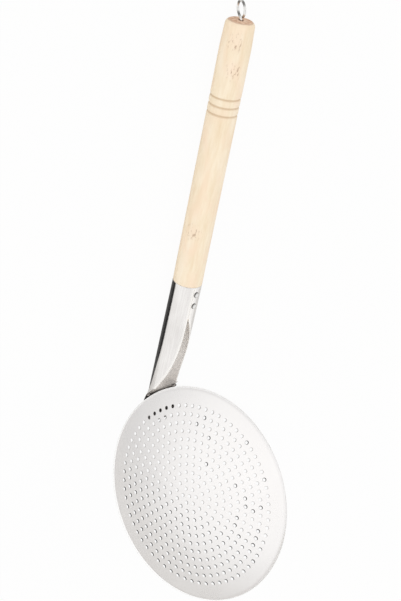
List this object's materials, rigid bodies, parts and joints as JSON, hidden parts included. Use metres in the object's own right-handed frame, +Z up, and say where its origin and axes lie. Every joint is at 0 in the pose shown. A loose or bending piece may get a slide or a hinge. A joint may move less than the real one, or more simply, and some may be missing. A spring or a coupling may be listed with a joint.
{
  "type": "perforated skimmer",
  "caption": "Kitchen skimmer with a shallow perforated steel bowl, a rolled steel socket and a turned wooden handle with a hanging eye.",
  "frame": {"origin": "middle of the bounding box on the table that the skimmer rests on", "axes": "+X along the handle from the bowl to the screw eye, +Z up from the table, +Y across the handle towards the side that the bowl tips away from"},
  "size_m": [0.5778, 0.2194, 0.1815],
  "materials": {
    "bowl_steel": "satin",
    "socket_steel": "polished",
    "pale_wood": "bare, sanded",
    "nail_steel": "bright",
    "eye_wire": "bright",
    "weld_metal": "as welded"
  },
  "bodies": {
    "root": {"bowl": "bowl_steel", "handle_socket": "socket_steel", "wooden_handle": "pale_wood", "upper_nail": "nail_steel", "lower_nail": "nail_steel", "screw_eye": "eye_wire", "left_weld_tack": "weld_metal", "right_weld_tack": "weld_metal", "tongue_weld": "weld_metal"}
  },
  "joints": []
}
